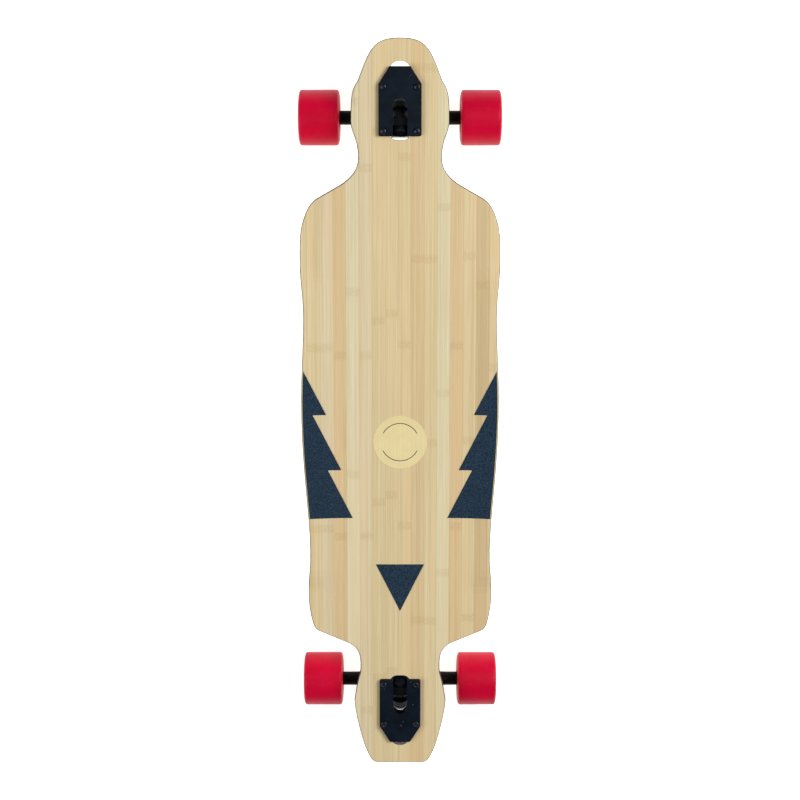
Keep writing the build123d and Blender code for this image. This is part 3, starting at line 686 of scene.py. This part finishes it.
axle = {"radius": 4.0, "pitch": 1.0, "threadDepth": 0.55, "threadLength": 8.5}

for end in ends:
    body = end + "_hanger_body"
    span = spanOf(pointsOf(end + "_axle"), (1, 0, 0))
    length, r = span["length"] / mm, axle["radius"]
    rod = bmesh.new()
    turned(rod, standing(span["start"], (1, 0, 0)), [
        (0, 0.0), (r - 0.9, 0.0), *thread(r, 0.7, axle["threadLength"], axle["pitch"], axle["threadDepth"]),
        (r, axle["threadLength"] + 0.3), (r, length / 2), (r, length - axle["threadLength"] - 0.3),
        *thread(r, length - axle["threadLength"], length - 0.7, axle["pitch"], axle["threadDepth"]),
        (r - 0.9, length), (0, length),
    ])
    addPiece(end + "_axle_rod", rod, "steel", body, "steel", end + "_axle", angle=35)
    nuts, collars = bmesh.new(), bmesh.new()
    for points in corners(pointsOf(end + "_axle_nuts"), alsoY=False):
        way = (1 if points[0].x > 0 else -1, 0, 0)
        span = spanOf(points, way)
        lockNut(nuts, collars, standing(span["start"], way), span["length"] / mm, axleNut)
    addPiece(end + "_axle_locknuts", nuts, "steel", body, "steel", end + "_axle_nuts", angle=30)
    addPiece(end + "_axle_collars", collars, "nylon", body, "steel")
print("axles made")

wheel = {
    "radius": 35.0, "halfWidth": 26.0, "corner": 3.5, "bulge": 1.0, "mouth": 19.0, "recess": 14.5,
    "coreHalf": 13.0, "coreRadius": 17.0, "groove": 22.0, "grooveDepth": 0.3, "ribs": 9, "ribHeight": 1.7,
    "ribFrom": 11.3, "ribTo": 14.4, "ribWidth": 1.5,
}
shield = {"inner": 6.2, "outer": 9.2, "thickness": 0.4, "middles": (-8.5, 8.5), "level": 2.8}


def tyreHalf():  # from the core out to the tread, on the outer side
    face = wheel["halfWidth"] - wheel["bulge"]
    inner, outer = wheel["mouth"], wheel["radius"] - wheel["corner"]
    core, recess = wheel["coreHalf"], wheel["recess"]
    points = [(wheel["coreRadius"], core), (recess, core)]
    for share in (0.06, 0.3, 0.6, 0.9):  # the recess widens as it nears the face
        points.append((recess + (inner - recess) * share ** 1.15, core + (face - core) * share))
    points.append((inner - 0.1, face - 0.35))
    for step in range(25):
        r = inner + 0.35 + (outer - inner - 0.35) * step / 24
        bulge = wheel["bulge"] * (1 - ((r - (inner + outer) / 2) / ((outer - inner) / 2)) ** 2)
        groove = wheel["grooveDepth"] * max(0.0, 1 - abs(r - wheel["groove"]) / 0.6)
        points.append((r, face + bulge - groove))
    for step in range(1, 9):
        angle = math.pi / 2 * step / 8
        corner = wheel["corner"]
        points.append((outer + corner * math.sin(angle), face - corner + corner * math.cos(angle)))
    for share in (0.9, 0.6, 0.3):
        points.append((wheel["radius"], (face - wheel["corner"]) * share))
    return points


def addWheel(end, side):
    body = f"{end}_{side}_wheel_body"
    stem = f"{end}_{side}_"
    way = (1 if side == "right" else -1, 0, 0)
    span = spanOf(pointsOf(stem + "wheel_tyre"), way)
    place = standing((span["start"] + span["end"]) / 2, way)
    tread = bmesh.new()
    half = tyreHalf()
    turned(tread, place, half + [(r, -z) for r, z in reversed(half)], steps=144, closed=True)
    addPiece(stem + "tyre_moulding", tread, "tyre", body, "red_urethane", stem + "wheel_tyre", angle=40)
    ribs = bmesh.new()
    for face in (-1, 1):
        for number in range(wheel["ribs"]):
            turn = Matrix.Rotation(math.tau * (number + 0.25) / wheel["ribs"], 4, "Z")
            size = (wheel["ribTo"] - wheel["ribFrom"], wheel["ribWidth"], wheel["ribHeight"])
            level = face * (wheel["coreHalf"] + size[2] / 2 - 0.1)
            shift = Matrix.Translation(Vector(((wheel["ribFrom"] + wheel["ribTo"]) / 2, 0.0, level)) * mm)
            stretch = Matrix.Diagonal((*[v * mm for v in size], 1.0))
            made = bmesh.ops.create_cube(ribs, size=1.0, matrix=place @ turn @ shift @ stretch)
            edges = list({edge for vertex in made["verts"] for edge in vertex.link_edges})
            bmesh.ops.bevel(ribs, geom=edges, offset=0.35 * mm, segments=2, affect="EDGES", profile=0.6)
    addPiece(stem + "core_ribs", ribs, "core", body, "wheel_core")
    seals = bmesh.new()
    inner, outer, thick = shield["inner"], shield["outer"], shield["thickness"]
    for middle in shield["middles"]:
        for face in (-1, 1):
            shift = Matrix.Translation((0, 0, (middle + face * shield["level"]) * mm))
            station = place @ shift @ Matrix.Diagonal((1, 1, face, 1))
            turned(seals, station, [
                (inner, 0.0), (outer, 0.0), (outer, thick), (outer - 0.45, thick),
                (outer - 0.65, thick - 0.22), (inner + 0.95, thick - 0.22),
                (inner + 0.75, thick), (inner, thick),
            ], steps=64, closed=True)
    addPiece(stem + "seals", seals, "seal", body, "black_rubber", stem + "bearing_shields", angle=25)


for end, side in wheels:
    addWheel(end, side)
print("wheels made")

ring = {"radius": 24.3, "width": 0.95, "arcs": ((27, 153), (206, 334)), "steps": 60, "height": 0.12}


def addRing():  # two plain printed arcs round the badge
    low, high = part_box("badge")
    centre = (low + high) / 2
    bm = bmesh.new()
    for start, stop in ring["arcs"]:
        rows = []
        for step in range(ring["steps"] + 1):
            angle = math.radians(start + (stop - start) * step / ring["steps"])
            taper = min(1.0, step / 2 + 0.35, (ring["steps"] - step) / 2 + 0.35)
            row = []
            for side, level in ((-1, -0.02), (1, -0.02), (1, ring["height"]), (-1, ring["height"])):
                r = (ring["radius"] + side * ring["width"] / 2 * taper) * mm
                x, y = centre.x + r * math.cos(angle), centre.y + r * math.sin(angle)
                row.append(bm.verts.new((x, y, high.z + level * mm)))
            rows.append(row)
        for first, second in zip(rows, rows[1:]):
            for i in range(4):
                bm.faces.new((first[i], first[(i + 1) % 4], second[(i + 1) % 4], second[i]))
        bm.faces.new(rows[0])
        bm.faces.new(list(reversed(rows[-1])))
    addPiece("badge_ring", bm, "ink", "deck_body", "badge_print", angle=30)


addRing()
print("badge ring printed")

nodeFinishes = {
    "deck": "bamboo", "grip_left": "gripTape", "grip_right": "gripTape", "grip_triangle": "gripTape",
    "badge": "badge", "baseplate": "casting", "hanger": "casting", "pivot_cup": "bushing",
    "kingpin": "blackSteel", "kingpin_nut": "blackSteel", "boardside_bushing": "bushing",
    "roadside_bushing": "bushing", "boardside_washer": "blackSteel", "roadside_washer": "blackSteel",
    "mounting_bolts": "blackSteel", "mounting_nuts": "blackSteel", "axle": "steel",
    "axle_nuts": "steel", "speed_washers": "steel", "bearing_inner_rings": "steel",
    "bearing_spacers": "steel", "wheel_tyre": "tyre", "wheel_core": "core",
    "bearing_outer_rings": "steel", "bearing_balls": "ballSteel", "bearing_shields": "seal",
}
for name, node in cadNodes.items():  # the longest ending that fits names the finish
    for ending in sorted(nodeFinishes, key=len, reverse=True):
        if name == ending or name.endswith("_" + ending):
            coat(node, nodeFinishes[ending])
            break
    else:
        raise ValueError("no finish for " + name)
